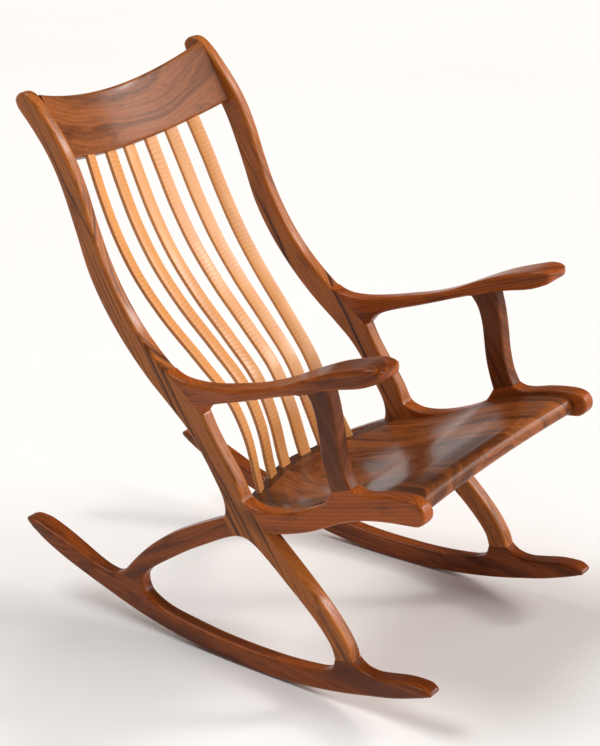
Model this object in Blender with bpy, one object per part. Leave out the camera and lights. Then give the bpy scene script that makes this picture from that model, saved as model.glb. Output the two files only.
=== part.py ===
"""Sculpted walnut rocking chair with six bent maple back slats.

Metres, +Z up. The sitter faces -Y, and the sitter's right is -X. The chair stands on its
rockers at the balance point, with the lowest facet of each rocker flat on z = 0.
Side-frame outlines are drawn as (run, height) knots: run is measured back from the rocker toe,
height is measured up from the floor.
"""

import math

import bmesh
import bpy
from mathutils import Matrix, Vector
from mathutils.geometry import delaunay_2d_cdt

# ---- overall sizes -------------------------------------------------------------------------
SIDE_SPREAD = 0.270        # centre plane of each side frame to the middle of the chair, at the toes
BACK_HEIGHT = 1.148        # floor to the top of the back posts
TOE_SET = -0.006           # share by which the toes stand inside SIDE_SPREAD
TOE_IN = 0.040             # side frames close in towards the rear, per metre of run
SPLAY_OUT = 0.042          # side frames open out towards the top, per metre of height
LEAN_IN = 0.086            # and the back closes in again, per metre of run and of height
MIDDLE_RUN = 0.5310        # run that lies on the world's Y = 0

# ---- rockers -------------------------------------------------------------------------------
ROCKER_RADIUS = 1.240
ROCKER_LOW_RUN = 0.462     # run of the lowest point of the rocker arc
ROCKER_FACET = 0.025       # length of one flat of the sole
TOE_RUN = -0.012
TAIL_RUN = 1.089
TOE_WIDTH = 0.038          # widest part of the front end
TAIL_WIDTH = 0.048         # widest part of the tail paddle
TAIL_WIDE_RUN = 1.028

# ---- side frame stock ----------------------------------------------------------------------
SIDE_THICK = 0.032
POST_TOP_THICK = 0.029     # the posts thin out towards the top
EDGE_ROUND = 0.006
ARM_WIDTH = 0.078
CREST_THICK = 0.028
CREST_BOW = 0.047          # how far the middle of the crest lies behind its ends
SLAT_COUNT = 6
SLAT_THICK = 0.009
SLAT_WIDTH = 0.033
SEAT_THICK = 0.027
SEAT_NOSE_THICK = 0.035    # the boards thicken into the rolled front edge
SEAT_DISH = 0.016
SEAT_BOARDS = 5
BOARD_SLICES = 3           # stations across each board, shared with the rail behind it
SEAT_REAR_RUN = 0.509      # rear edge of the boards at the middle
SEAT_SWEEP = 0.36          # how fast that edge runs forward towards the sides
SEAT_SWEEP_ROUND = 0.060   # and how gently it turns at the middle
SLAT_RAIL_DEPTH = 0.035
DOWEL_DIAMETER = 0.010
DOWEL_LENGTH = 0.044
GAP = 0.0003               # glue line between neighbouring pieces
BACK_STRETCH_FROM = 0.660  # heights between which BACK_HEIGHT stretches the back
BACK_STRETCH_TO = 0.985
BACK_FROM_RUN = 0.600      # the arms lie in front of this run and keep their heights
POST_THIN_BY = (0.765, 0.900)   # drawn place at which the posts reach POST_TOP_THICK
DRAWN_BACK_HEIGHT = 1.148  # height that the knots below were drawn for
DRAWN_SPREAD = 0.270       # and the spread that the slats were drawn for

CURVE_STEP = 0.022         # spacing of the points along a drawn curve


# ---- small geometry helpers ----------------------------------------------------------------
def clear_scene():
    for thing in list(bpy.data.objects):
        bpy.data.objects.remove(thing, do_unlink=True)


def stretch(run, height):
    """Lengthen the middle of the back when BACK_HEIGHT is changed; the crest and caps just rise."""
    if run < BACK_FROM_RUN:
        return height
    share = (height - BACK_STRETCH_FROM) / (BACK_STRETCH_TO - BACK_STRETCH_FROM)
    return height + (BACK_HEIGHT - DRAWN_BACK_HEIGHT) * min(1.0, max(0.0, share))


def to_world(knot):
    """Drawn (run, height) to world (y, z)."""
    return Vector((knot[0] - MIDDLE_RUN, stretch(knot[0], knot[1])))


def taper(y, z):
    """Share of the toe spread that is left at a place on the side frame."""
    run = y + MIDDLE_RUN
    return 1.0 + TOE_SET - TOE_IN * run + SPLAY_OUT * z - LEAN_IN * run * z


def curve(knots, spacing=CURVE_STEP):
    """World points of a smooth curve through drawn knots, evenly spaced; a knot's further
    numbers are carried along."""
    spots = [Vector((*to_world(k), *k[2:])) for k in knots]
    ends = [2 * spots[0] - spots[1]] + spots + [2 * spots[-1] - spots[-2]]
    points = [spots[0]]
    for i in range(1, len(ends) - 2):
        p0, p1, p2, p3 = ends[i - 1:i + 3]
        count = max(1, round((p2 - p1).length / spacing))
        t0 = 0.0
        t1 = t0 + math.sqrt((p1 - p0).length)
        t2 = t1 + math.sqrt((p2 - p1).length)
        t3 = t2 + math.sqrt((p3 - p2).length)
        for k in range(1, count + 1):
            t = t1 + (t2 - t1) * k / count
            a1 = p0.lerp(p1, (t - t0) / (t1 - t0))
            a2 = p1.lerp(p2, (t - t1) / (t2 - t1))
            a3 = p2.lerp(p3, (t - t2) / (t3 - t2))
            b1 = a1.lerp(a2, (t - t0) / (t2 - t0))
            b2 = a2.lerp(a3, (t - t1) / (t3 - t1))
            points.append(b1.lerp(b2, (t - t1) / (t2 - t1)))
    return points


def joint(first, second, back_off=0.0):
    """World ends of a straight glue line, moved by back_off to the left of its direction."""
    a, b = to_world(first), to_world(second)
    along = (b - a).normalized()
    left = Vector((-along.y, along.x)) * back_off
    return [a + left, b + left]


def step_between(table, value):
    """Value read from a short table of (place, size) pairs, eased between the rows."""
    if value <= table[0][0]:
        return table[0][1]
    for (x0, v0), (x1, v1) in zip(table, table[1:]):
        if value <= x1:
            t = (value - x0) / (x1 - x0)
            t = t * t * (3 - 2 * t)
            return v0 + (v1 - v0) * t
    return table[-1][1]


# ---- materials -----------------------------------------------------------------------------
def material(name, colour, roughness):
    made = bpy.data.materials.get(name)
    if made is None:
        made = bpy.data.materials.new(name)
        made.use_nodes = True
        shader = made.node_tree.nodes["Principled BSDF"]
        shader.inputs["Base Color"].default_value = (*colour, 1.0)
        shader.inputs["Roughness"].default_value = roughness
        shader.inputs["Metallic"].default_value = 0.0
        made.diffuse_color = (*colour, 1.0)
    return made


def walnut_frame():
    return material("walnut_frame_oiled", (0.215, 0.075, 0.026), 0.36)


def walnut_seat():
    return material("walnut_seat_oiled", (0.110, 0.038, 0.016), 0.34)


def walnut_crest():
    return material("walnut_crest_oiled", (0.150, 0.055, 0.024), 0.36)


def maple_slats():
    return material("maple_slats_oiled", (0.680, 0.330, 0.120), 0.34)


def birch_dowels():
    return material("birch_dowels", (0.620, 0.450, 0.260), 0.55)


# ---- solids --------------------------------------------------------------------------------
def finish_object(name, mesh_data, skin):
    mesh = bpy.data.meshes.new(name)
    if mesh_data.calc_volume(signed=True) < 0:
        bmesh.ops.reverse_faces(mesh_data, faces=mesh_data.faces)
    mesh_data.normal_update()
    mesh_data.to_mesh(mesh)
    mesh_data.free()
    mesh.materials.append(skin)
    made = bpy.data.objects.new(name, mesh)
    bpy.context.scene.collection.objects.link(made)
    mesh.shade_smooth()
    mesh.set_sharp_from_angle(angle=math.radians(35))
    return made


def inset_point(before, here, after, first_inset, second_inset):
    """The corner between two outline edges when each edge moves inwards by its own distance."""
    u = (here - before).normalized()
    v = (after - here).normalized()
    n_in = Vector((-u.y, u.x))
    n_out = Vector((-v.y, v.x))
    cross = u.x * v.y - u.y * v.x
    nearly_straight = u.dot(v) > 0 and abs(cross) < (0.08 if first_inset == second_inset else 0.35)
    if nearly_straight:
        return here + (n_in * first_inset + n_out * second_inset) / 2
    return here + (v * first_inset - u * second_inset) / cross


def side_slab(name, stretches, width_at, side, skin, arris=EDGE_ROUND):
    """A side-frame member: an outline extruded across the frame with rounded arrises.

    stretches is a list of (kind, points) that runs anticlockwise seen with y to the right and z up;
    the rim of a "joint" stretch stays square, so that neighbouring pieces meet edge to edge.
    """
    spots = []
    square = []
    for kind, points in stretches:
        for index, point in enumerate(points):
            if spots and (point - spots[-1]).length < 0.0008:
                continue
            spots.append(point)
            square.append(kind == "joint" and index > 0)
    if (spots[0] - spots[-1]).length < 0.0008:
        square[0] = square[-1]
        spots.pop()
        square.pop()
    count = len(spots)
    area = sum(spots[i - 1].x * spots[i].y - spots[i].x * spots[i - 1].y for i in range(count))
    if area < 0:
        spots.reverse()
        square.reverse()
        square = square[-1:] + square[:-1]
    layers = []
    for t in (0.0, math.pi / 4, math.pi / 2):
        layers.append((arris * (1.0 - math.sin(t)), arris * (1.0 - math.cos(t))))
    work = bmesh.new()
    rings = []
    for hand, order in ((-1, layers), (1, layers[::-1])):
        for inset, drop in order:
            ring = []
            for i in range(count):
                j = (i + 1) % count
                p = inset_point(spots[i - 1], spots[i], spots[j],
                                0.0 if square[i] else inset, 0.0 if square[j] else inset)
                ring.append(work.verts.new((hand * (width_at(p.x, p.y) / 2 - drop), p.x, p.y)))
            rings.append(ring)
    for low, high in zip(rings, rings[1:]):
        for i in range(count):
            j = (i + 1) % count
            work.faces.new((low[i], low[j], high[j], high[i]))
    rim = [v.co.yz for v in rings[-1]]
    edges = [(i, (i + 1) % count) for i in range(count)]
    for corners in delaunay_2d_cdt(rim, edges, [list(range(count))], 1, 1e-7)[2]:
        for ring in (rings[0], rings[-1]):
            work.faces.new([ring[i] for i in corners])
    for v in work.verts:
        v.co.x = side * (SIDE_SPREAD + v.co.x) * taper(v.co.y, v.co.z)
    bmesh.ops.recalc_face_normals(work, faces=work.faces)
    return finish_object(name, work, skin)


def loft(name, rings, skin):
    """Closed solid through matching rings of points; its ends are closed with ladders of quads."""
    work = bmesh.new()
    loops = [[work.verts.new(p) for p in ring] for ring in rings]
    size = len(loops[0])
    for low, high in zip(loops, loops[1:]):
        for i in range(size):
            j = (i + 1) % size
            work.faces.new((low[i], low[j], high[j], high[i]))
    for end in (loops[0], loops[-1]):
        for i in range(size // 2 - 1):
            work.faces.new((end[i], end[i + 1], end[size - 2 - i], end[size - 1 - i]))
    bmesh.ops.recalc_face_normals(work, faces=work.faces)
    return finish_object(name, work, skin)


def rounded_section(width, thick, radius, steps=2):
    """Points of a rounded rectangle about the origin, counter-clockwise."""
    points = []
    for corner in range(4):
        cx = (width / 2 - radius) * (1 if corner in (0, 3) else -1)
        cy = (thick / 2 - radius) * (1 if corner in (0, 1) else -1)
        for k in range(steps + 1):
            angle = math.pi / 2 * (corner + k / steps)
            points.append((cx + radius * math.cos(angle), cy + radius * math.sin(angle)))
    return points


def peg(name, centre, axis, radius, length, skin):
    """A twelve-sided round peg lying along an axis."""
    work = bmesh.new()
    bmesh.ops.create_cone(work, cap_ends=True, segments=12, radius1=radius, radius2=radius,
                          depth=length)
    turn = Vector((0, 0, 1)).rotation_difference(axis).to_matrix().to_4x4()
    bmesh.ops.transform(work, matrix=Matrix.Translation(centre) @ turn, verts=work.verts)
    return finish_object(name, work, skin)


def cut(target, cutter):
    cutter.hide_render = True
    cutter.display_type = "WIRE"
    subtract = target.modifiers.new("cut_" + cutter.name, "BOOLEAN")
    subtract.operation = "DIFFERENCE"
    subtract.solver = "EXACT"
    subtract.object = cutter


def dowel(name, centre, axis, *targets):
    """A dowel across a glue line, and its bores in the pieces that it joins."""
    axis = axis.normalized()
    peg(name, centre, axis, DOWEL_DIAMETER / 2, DOWEL_LENGTH, birch_dowels())
    bore = peg(name + "_bore", centre, axis, DOWEL_DIAMETER / 2 + GAP, DOWEL_LENGTH + 2 * GAP,
               birch_dowels())
    for target in targets:
        cut(target, bore)


def dowels_on_joint(name, first, second, shares, side, *targets):
    """Dowels square to a side-frame glue line, at shares of its length."""
    a, b = to_world(first), to_world(second)
    along = (b - a).normalized()
    for index, share in enumerate(shares, 1):
        spot = a.lerp(b, share)
        place = Vector((side * SIDE_SPREAD * taper(spot.x, spot.y), spot.x, spot.y))
        label = name if len(shares) == 1 else f"{name}_{index}"
        dowel(label, place, Vector((0, -along.y, along.x)), *targets)


# ---- glue lines of the side frame ----------------------------------------------------------
LEG_FOOT = ((0.1730, 0.1080), (0.2195, 0.1010))        # front leg on the rocker, front to rear
ARCH_HEAD = ((0.4555, 0.3030), (0.4785, 0.3370))       # rear arch on the post, low to high
ARCH_FOOT = ((0.7395, 0.1085), (0.8000, 0.1215))       # rear arch on the rocker, front to rear
RAIL_END = ((0.3610, 0.3340), (0.4195, 0.3895))        # seat rail on the post, low to high
ARM_ROOT = ((0.5060, 0.5560), (0.5950, 0.6275))        # arm on the post, low to high
ARM_POST_FOOT = ((0.1425, 0.4880), (0.1925, 0.4705))   # arm post on the seat rail, front to rear
ARM_POST_HEAD = ((0.1775, 0.6875), (0.2360, 0.6670))   # arm post under the arm, front to rear


def sole(start_run, end_run):
    """Flats of the rocker sole; the lowest flat is level at z = 0."""
    flat = ROCKER_FACET / ROCKER_RADIUS
    first = (start_run - ROCKER_LOW_RUN) / ROCKER_RADIUS
    last = (end_run - ROCKER_LOW_RUN) / ROCKER_RADIUS
    reach = ROCKER_RADIUS / math.cos(flat / 2)
    angles = [first]
    index = math.ceil(first / flat - 0.5 + 0.2)
    while (index + 0.5) * flat < last - 0.2 * flat:
        if (index + 0.5) * flat > first + 0.2 * flat:
            angles.append((index + 0.5) * flat)
        index += 1
    angles.append(last)
    centre_y = ROCKER_LOW_RUN - MIDDLE_RUN
    return [Vector((centre_y + reach * math.sin(a), ROCKER_RADIUS - reach * math.cos(a)))
            for a in angles]


def rocker_width(y, z):
    run = y + MIDDLE_RUN
    table = ((TOE_RUN, 0.026), (0.040, TOE_WIDTH), (0.150, SIDE_THICK), (0.840, SIDE_THICK),
             (TAIL_WIDE_RUN, TAIL_WIDTH), (1.064, TAIL_WIDTH - 0.010), (TAIL_RUN, 0.020))
    return step_between(table, run)


def rocker_outline():
    """From the toe along the sole to the tail, then back over the top."""
    bottom = sole(TOE_RUN, TAIL_RUN)
    tail = curve([(1.0880, 0.1715), (1.0715, 0.1765), (1.0430, 0.1765), (0.9975, 0.1630),
                  (0.9415, 0.1435), (0.8910, 0.1245), (0.8555, 0.1140), (0.8250, 0.1115), ARCH_FOOT[1]])
    rear_joint = joint(ARCH_FOOT[1], ARCH_FOOT[0])
    loop = curve([ARCH_FOOT[0], (0.7340, 0.0920), (0.7190, 0.0805), (0.6850, 0.0665), (0.6070, 0.0550),
                  (0.5265, 0.0480), (0.4455, 0.0465), (0.3650, 0.0485), (0.2940, 0.0555),
                  (0.2490, 0.0645), (0.2275, 0.0795), LEG_FOOT[1]])
    front_joint = joint(LEG_FOOT[1], LEG_FOOT[0])
    toe = curve([LEG_FOOT[0], (0.1580, 0.0975), (0.1290, 0.0925), (0.0960, 0.0970), (0.0520, 0.1060),
                 (0.0150, 0.1075), (-0.0060, 0.1020)])
    return [("curve", bottom), ("curve", tail), ("joint", rear_joint), ("curve", loop),
            ("joint", front_joint), ("curve", toe)]


def post_outline():
    """Front edge upwards, rounded head, rear edge down to the arch, front leg back to the foot."""
    leg_front = curve([LEG_FOOT[0], (0.1795, 0.1320), (0.1970, 0.1640), (0.2290, 0.2045),
                       (0.2775, 0.2550), (0.3230, 0.2985), RAIL_END[0]])
    rail_joint = joint(RAIL_END[0], RAIL_END[1])
    waist = curve([RAIL_END[1], (0.4350, 0.4290), (0.4640, 0.4760), (0.4900, 0.5200), ARM_ROOT[0]])
    arm_joint = joint(ARM_ROOT[0], ARM_ROOT[1])
    back_front = curve([ARM_ROOT[1], (0.6320, 0.6610), (0.6720, 0.7050), (0.7085, 0.7590),
                        (0.7415, 0.8280), (0.7650, 0.9005), (0.7830, 0.9670), (0.8070, 1.0260),
                        (0.8445, 1.0840), (0.8870, 1.1350), (0.9080, 1.1480), (0.9305, 1.1455),
                        (0.9425, 1.1315), (0.9365, 1.1140)])
    back_rear = curve([(0.9365, 1.1140), (0.9025, 1.0765), (0.8695, 1.0325), (0.8455, 0.9870),
                       (0.8275, 0.9360), (0.8105, 0.8775), (0.7875, 0.7980), (0.7505, 0.7245),
                       (0.7020, 0.6565), (0.6490, 0.5985), (0.5920, 0.5480), (0.5540, 0.5120),
                       (0.5230, 0.4690), (0.4940, 0.4190), (0.4770, 0.3830), (0.4740, 0.3570),
                       ARCH_HEAD[1]])
    arch_joint = joint(ARCH_HEAD[1], ARCH_HEAD[0])
    leg_rear = curve([ARCH_HEAD[0], (0.4300, 0.3060), (0.4070, 0.2985), (0.3725, 0.2735),
                      (0.3210, 0.2280), (0.2765, 0.1875), (0.2440, 0.1515), (0.2260, 0.1245),
                      LEG_FOOT[1]])
    foot = joint(LEG_FOOT[1], LEG_FOOT[0])
    return [("curve", leg_front), ("joint", rail_joint), ("curve", waist), ("joint", arm_joint),
            ("curve", back_front), ("curve", back_rear), ("joint", arch_joint),
            ("curve", leg_rear), ("joint", foot)]


def off(pair, distance):
    """A glue line moved square to itself, as drawn knots."""
    (a, b), (c, d) = pair
    length = math.hypot(c - a, d - b)
    shift = (-(d - b) / length * distance, (c - a) / length * distance)
    return ((a + shift[0], b + shift[1]), (c + shift[0], d + shift[1]))


def arch_outline():
    """The curved rear leg from the post down to the rocker."""
    head = off(ARCH_HEAD, -GAP)
    foot = off(ARCH_FOOT, GAP)
    top = curve([head[1], (0.4930, 0.3310), (0.5265, 0.3155), (0.5820, 0.2880), (0.6375, 0.2580),
                 (0.6940, 0.2195), (0.7395, 0.1810), (0.7695, 0.1515), (0.7855, 0.1350), foot[1]])
    under = curve([foot[0], (0.7385, 0.1250), (0.7240, 0.1440), (0.6950, 0.1660), (0.6480, 0.1965),
                   (0.5930, 0.2310), (0.5345, 0.2635), (0.4850, 0.2900), head[0]])
    return [("curve", top), ("joint", joint(foot[1], foot[0])), ("curve", under),
            ("joint", joint(head[0], head[1]))]


def rail_outline():
    """Side seat rail with its two pads and its bulbous front end."""
    rear = off(RAIL_END, GAP)
    pad = off(ARM_POST_FOOT, 0.0)
    under = curve([rear[0], (0.3335, 0.3405), (0.2930, 0.3535), (0.2520, 0.3690), (0.2110, 0.3895),
                   (0.1700, 0.4105), (0.1195, 0.4285), (0.0580, 0.4415), (0.0125, 0.4475),
                   (-0.0100, 0.4515), (-0.0235, 0.4635), (-0.0265, 0.4790), (-0.0185, 0.4945),
                   (-0.0030, 0.5010), (0.0270, 0.5005), (0.0680, 0.4945), (0.1070, 0.4850),
                   (0.1280, 0.4835), pad[0]])
    behind = curve([pad[1], (0.1995, 0.4580), (0.2130, 0.4395), (0.2415, 0.4215), (0.2825, 0.4035),
                    (0.3230, 0.3900), (0.3590, 0.3825), (0.3845, 0.3810), (0.4030, 0.3840), rear[1]])
    return [("curve", under), ("joint", joint(pad[0], pad[1])), ("curve", behind),
            ("joint", joint(rear[1], rear[0]))]


def arm_post_outline():
    foot = off(ARM_POST_FOOT, GAP)
    head = off(ARM_POST_HEAD, -GAP)
    front = curve([foot[0], (0.1535, 0.5130), (0.1615, 0.5540), (0.1645, 0.5990), (0.1690, 0.6440),
                   head[0]])
    rear = curve([head[1], (0.2220, 0.6460), (0.2135, 0.6140), (0.2100, 0.5740), (0.2070, 0.5340),
                  (0.2000, 0.4985), foot[1]])
    return [("curve", front), ("joint", joint(head[0], head[1])), ("curve", rear),
            ("joint", joint(foot[1], foot[0]))]


def arm_outline():
    root = off(ARM_ROOT, GAP)
    head = ARM_POST_HEAD
    top = curve([root[1], (0.5600, 0.6175), (0.5200, 0.6165), (0.4600, 0.6245), (0.4000, 0.6370),
                 (0.3400, 0.6520), (0.2800, 0.6730), (0.2200, 0.7000), (0.1600, 0.7250),
                 (0.1000, 0.7430), (0.0610, 0.7520), (0.0440, 0.7530), (0.0350, 0.7460),
                 (0.0390, 0.7350), (0.0580, 0.7220), (0.0930, 0.7085), (0.1360, 0.6985), head[0]])
    under = curve([head[1], (0.2810, 0.6515), (0.3300, 0.6340), (0.3800, 0.6170), (0.4300, 0.6010),
                   (0.4700, 0.5860), (0.4900, 0.5740), root[0]])
    return [("curve", top), ("joint", joint(head[0], head[1])), ("curve", under),
            ("joint", joint(root[0], root[1]))]


def arm_width(y, z):
    run = y + MIDDLE_RUN
    table = ((0.034, 0.030), (0.050, 0.055), (0.085, ARM_WIDTH), (0.150, ARM_WIDTH - 0.002),
             (0.380, 0.044), (0.500, SIDE_THICK + 0.003), (0.592, SIDE_THICK))
    return step_between(table, run)


def stock_width(y, z):
    return SIDE_THICK


def post_width(y, z):
    table = ((BACK_STRETCH_FROM, SIDE_THICK), (to_world(POST_THIN_BY).y, POST_TOP_THICK))
    return step_between(table, z)


# ---- centre pieces -------------------------------------------------------------------------
INNER_FACE = SIDE_SPREAD - SIDE_THICK / 2 - GAP    # half span between the side frames, at the toes
CREST_REACH = SIDE_SPREAD - POST_TOP_THICK / 2 - GAP   # half span of the crest, as at the toes
CREST_LOW = (0.8275, 1.0205)                       # front lower corner of the crest at its end
CREST_HIGH = (0.8910, 1.1430)                      # front upper corner of the crest at its end
CREST_TOP_DIP = 0.046                              # hollow of the top edge at the middle
CREST_LOW_DROP = 0.032                             # belly of the lower edge at the middle
SEAT_EDGE = ((-0.003, 0.4920), (0.042, 0.4910), (0.098, 0.4805), (0.149, 0.4650), (0.201, 0.4440),
             (0.252, 0.4165), (0.304, 0.3930), (0.355, 0.3745), (0.406, 0.3590), (0.457, 0.3460),
             (0.509, 0.3385))
# Front face of the slats at the middle of the chair: run, height, spacing, and how far forward
# the face comes at SLAT_SETBACK_AT from the middle.
SLAT_LINE = ((0.5160, 0.3220, 0.0610, 0.0405), (0.5268, 0.3640, 0.0586, 0.0392),
             (0.5450, 0.4440, 0.0530, 0.0341), (0.5783, 0.5240, 0.0532, 0.0300),
             (0.6445, 0.6040, 0.0567, 0.0270), (0.7165, 0.6840, 0.0605, 0.0250),
             (0.7747, 0.7640, 0.0628, 0.0239), (0.8165, 0.8440, 0.0633, 0.0239),
             (0.8480, 0.9240, 0.0622, 0.0248), (0.8815, 1.0170, 0.0588, 0.0272))
SLAT_SETBACK_AT = 0.154
CREST_DOWELS = ((0.859, 1.051), (0.885, 1.101))    # run and height of the dowels into each post
SEAT_DOWEL_RUNS = (0.070, 0.285)
SLAT_RAIL_DOWEL = (0.456, 0.336)
# Hand-set sideways shifts of the slats from even spacing, at the foot and at the top.
SLAT_SHIFTS = ((0.000, -0.012), (0.007, 0.001), (-0.001, 0.000), (0.003, 0.003), (-0.004, 0.000),
               (0.000, -0.002))


def bow(x):
    """How far back a place across the chair lies, behind the ends of the crest."""
    share = x / CREST_REACH
    return CREST_BOW * (1.0 - share * share)


def centre_point(x, y, z):
    return Vector((x * taper(y, z), y, z))


def crest():
    """Curved plank between the posts, hollow along its top edge."""
    low, high = to_world(CREST_LOW), to_world(CREST_HIGH)
    up = (high - low).normalized()
    back = Vector((up.y, -up.x))
    tall = (high - low).length
    steps = 16
    rings = []
    for i in range(steps + 1):
        x = -CREST_REACH + 2 * CREST_REACH * i / steps
        share = 1.0 - (x / CREST_REACH) ** 2
        bottom = -CREST_LOW_DROP * share
        top = tall - CREST_TOP_DIP * share
        ring = []
        for across, along in rounded_section(CREST_THICK, top - bottom, EDGE_ROUND):
            spot = low + up * ((top + bottom) / 2 + along) + back * (CREST_THICK / 2 + across)
            ring.append(centre_point(x, spot.x + bow(x), spot.y))
        rings.append(ring)
    return loft("crest_rail", rings, walnut_crest())


def slat_rings(number, grow=0.0, from_share=0.0, to_share=1.0):
    """Rings of one slat along its bent length; grow widens it for its socket."""
    side_step = number - (SLAT_COUNT - 1) / 2
    spread = SIDE_SPREAD / DRAWN_SPREAD
    path = curve(SLAT_LINE, 2 * CURVE_STEP)
    total = len(path) - 1
    first, last = round(total * from_share), round(total * to_share)
    rings = []
    for i in range(first, last + 1):
        share = i / total
        spot, pitch, setback = path[i].xy, path[i].z, path[i].w
        ahead = (path[min(i + 1, total)] - path[max(i - 1, 0)]).xy
        if i == first and grow and from_share == 0.0:
            spot = spot - ahead.normalized() * GAP
        if i == last and grow and to_share == 1.0:
            spot = spot + ahead.normalized() * GAP
        foot_shift, top_shift = SLAT_SHIFTS[number]
        place = side_step * pitch + foot_shift + (top_shift - foot_shift) * share
        hollow = place / SLAT_SETBACK_AT
        slope = -2.0 * setback * hollow / (SLAT_SETBACK_AT * spread)
        along = Vector((0.0, ahead.x, ahead.y)).normalized()
        across = Vector((1.0, slope, 0.0))
        across = (across - along * across.dot(along)).normalized()
        through = across.cross(along)
        if through.y < 0:
            through = -through
        face = Vector((place * spread, spot.x - setback * hollow * hollow, spot.y))
        swell = 0.91 + 0.03 * math.sin(math.pi * share)
        section = rounded_section(SLAT_WIDTH * swell + 2 * grow, SLAT_THICK + 2 * grow, 0.0022, 1)
        rings.append([face + across * a + through * (SLAT_THICK / 2 + b) for a, b in section])
    return rings


def seat_rear(x):
    """Run of the rear edge of the seat boards at a place across the chair."""
    return SEAT_REAR_RUN - SEAT_SWEEP * (math.hypot(x, SEAT_SWEEP_ROUND) - SEAT_SWEEP_ROUND)


def seat_top(x, y_run):
    """Drawn height of the dished seat at a place."""
    edge = None
    for (r0, h0), (r1, h1) in zip(SEAT_EDGE, SEAT_EDGE[1:]):
        if y_run <= r1:
            edge = h0 + (h1 - h0) * (y_run - r0) / (r1 - r0)
            break
    edge = SEAT_EDGE[-1][1] if edge is None else edge
    share = 1.0 - (x / INNER_FACE) ** 2
    along = min(1.0, max(0.0, y_run - 0.01) / 0.13) * min(1.0, max(0.0, seat_rear(x) - y_run) / 0.10)
    return edge - SEAT_DISH * share * math.sin(math.pi / 2 * along)


def seat_thickness(run):
    """The boards are thickest at the front edge and thin towards the rear."""
    return step_between(((0.014, SEAT_NOSE_THICK), (0.110, SEAT_THICK)), run)


def seat_board(number):
    """One lengthwise board of the dished seat, with a rolled front edge."""
    width = 2 * INNER_FACE / SEAT_BOARDS
    left = -INNER_FACE + number * width + (GAP / 2 if number else 0.0)
    right = -INNER_FACE + (number + 1) * width - (GAP / 2 if number < SEAT_BOARDS - 1 else 0.0)
    rings = []
    roll = 0.010
    shares = (0.0, 0.05, 0.13, 0.21, 0.29, 0.37, 0.45, 0.53, 0.61, 0.69, 0.77, 0.85, 0.93, 1.0)
    low_nose = seat_top(INNER_FACE, 0.0) - SEAT_NOSE_THICK
    for i in range(BOARD_SLICES + 1):
        x = left + (right - left) * i / BOARD_SLICES
        front = 0.010 * (1.0 - (x / INNER_FACE) ** 2)
        runs = [0.014 + (seat_rear(x) - 0.014) * share for share in shares]
        high_nose = seat_top(x, 0.0)
        upper = [(front, high_nose - roll), (front + roll * 0.3, high_nose - roll * 0.3)]
        upper += [(run, seat_top(x, run)) for run in runs]
        lower = [(run, seat_top(INNER_FACE, run) - seat_thickness(run)) for run in reversed(runs)]
        lower += [(front + roll * 0.3, low_nose + roll * 0.3), (front, low_nose + roll)]
        placed = [to_world(p) for p in upper + lower]
        rings.append([centre_point(x, p.x, p.y) for p in placed])
    return loft(f"seat_board_{number + 1}", rings, walnut_seat())


def slat_rail():
    """Rear rail of the seat that holds the feet of the slats; it follows the swept seat edge."""
    steps = SEAT_BOARDS * BOARD_SLICES
    rings = []
    for i in range(steps + 1):
        x = -INNER_FACE + 2 * INNER_FACE * i / steps
        front = seat_rear(x) + GAP
        rear = front + SLAT_RAIL_DEPTH
        front_top = seat_top(x, front)
        rear_top = seat_top(x, rear)
        bottom = seat_top(INNER_FACE, seat_rear(x)) - SEAT_THICK
        ring = [(front, front_top), (rear - 0.005, rear_top), (rear, rear_top - 0.006),
                (rear, bottom + 0.006), (rear - 0.005, bottom), (front, bottom)]
        placed = [to_world(p) for p in ring]
        rings.append([centre_point(x, p.x, p.y) for p in placed])
    return loft("back_slat_rail", rings, walnut_seat())


# ---- assembly ------------------------------------------------------------------------------
def side_frame(label, side):
    """Post, arch, rocker, seat rail, arm post and arm of one side, with their dowels."""
    wood = walnut_frame()
    rocker = side_slab(f"{label}_rocker", rocker_outline(), rocker_width, side, wood)
    post = side_slab(f"{label}_back_post", post_outline(), post_width, side, wood)
    arch = side_slab(f"{label}_rear_leg", arch_outline(), stock_width, side, wood)
    rail = side_slab(f"{label}_seat_rail", rail_outline(), stock_width, side, wood)
    arm_post = side_slab(f"{label}_arm_post", arm_post_outline(), post_width, side, wood)
    arm = side_slab(f"{label}_arm", arm_outline(), arm_width, side, wood)
    dowels_on_joint(f"{label}_foot_dowel", *LEG_FOOT, (0.27, 0.73), side, rocker, post)
    dowels_on_joint(f"{label}_rear_leg_foot_dowel", *ARCH_FOOT, (0.5,), side, rocker, arch)
    dowels_on_joint(f"{label}_rear_leg_head_dowel", *ARCH_HEAD, (0.25,), side, arch, post)
    dowels_on_joint(f"{label}_rail_dowel", *RAIL_END, (0.55,), side, rail, post)
    dowels_on_joint(f"{label}_arm_dowel", *ARM_ROOT, (0.32, 0.68), side, arm, post)
    dowels_on_joint(f"{label}_arm_post_foot_dowel", *ARM_POST_FOOT, (0.5,), side, arm_post, rail)
    dowels_on_joint(f"{label}_arm_post_head_dowel", *ARM_POST_HEAD, (0.5,), side, arm_post, arm)
    return post, arch, rail


def cross_dowel(name, run, height, side, *targets, reach=INNER_FACE):
    """A dowel lying across the chair at the inner face of a side frame."""
    spot = to_world((run, height))
    x = side * reach * taper(spot.x, spot.y)
    dowel(name, Vector((x, spot.x, spot.y)), Vector((1, 0, 0)), *targets)


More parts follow.
